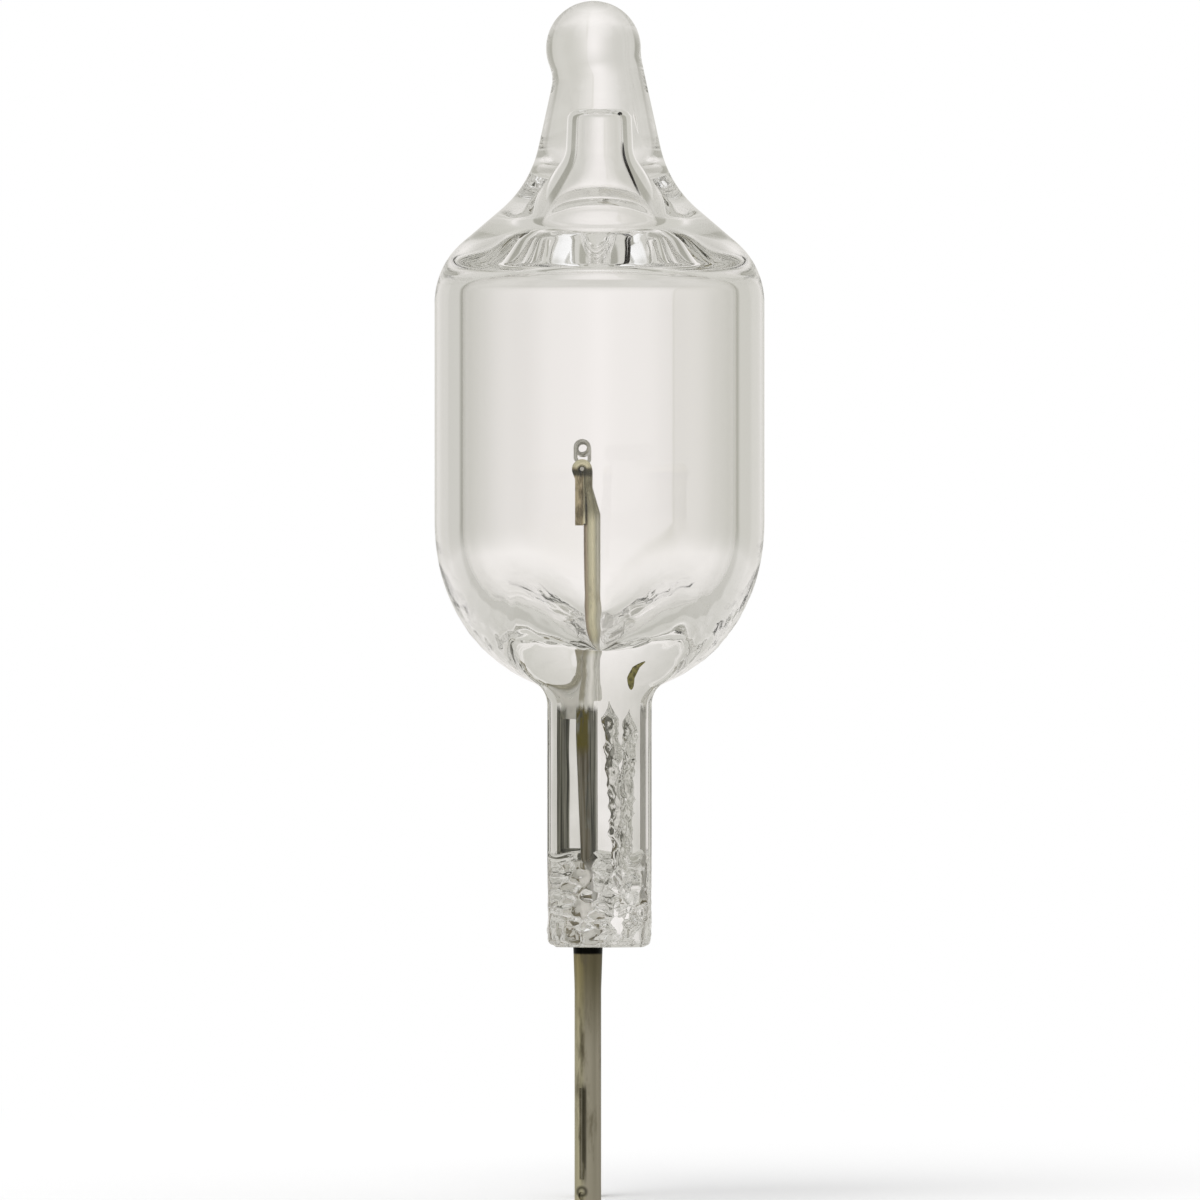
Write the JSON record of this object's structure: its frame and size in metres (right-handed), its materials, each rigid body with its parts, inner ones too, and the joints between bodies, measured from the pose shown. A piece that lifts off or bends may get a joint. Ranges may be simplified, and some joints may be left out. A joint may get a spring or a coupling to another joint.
{
  "type": "two-pin halogen capsule bulb",
  "caption": "Clear halogen capsule bulb for a car's auxiliary driving light: round glass barrel with a sealed tip, flat pinched seal, transverse coil filament and straight contact pins.",
  "frame": {"origin": "midway between the two contact pins, level with the lower end of the flat glass seal", "axes": "+Z along the bulb, from the pins to the sealed tip; Y along the seal's width, through both pins; X through the seal's thickness"},
  "size_m": [0.0088, 0.0088, 0.0318],
  "materials": {
    "clear_glass": "clear fused glass, fire-polished",
    "filament_wire": "bare coiled tungsten wire",
    "lead_wire": "dull molybdenum wire, warm grey",
    "seal_foil": "thin rolled foil sealed in glass",
    "pin_metal": "dull drawn wire, brownish grey"
  },
  "bodies": {
    "root": {"glass_envelope": "clear_glass", "filament_coil": "filament_wire", "near_inner_lead": "lead_wire", "far_inner_lead": "lead_wire", "near_sealing_foil": "seal_foil", "far_sealing_foil": "seal_foil", "near_contact_pin": "pin_metal", "far_contact_pin": "pin_metal"}
  },
  "joints": []
}
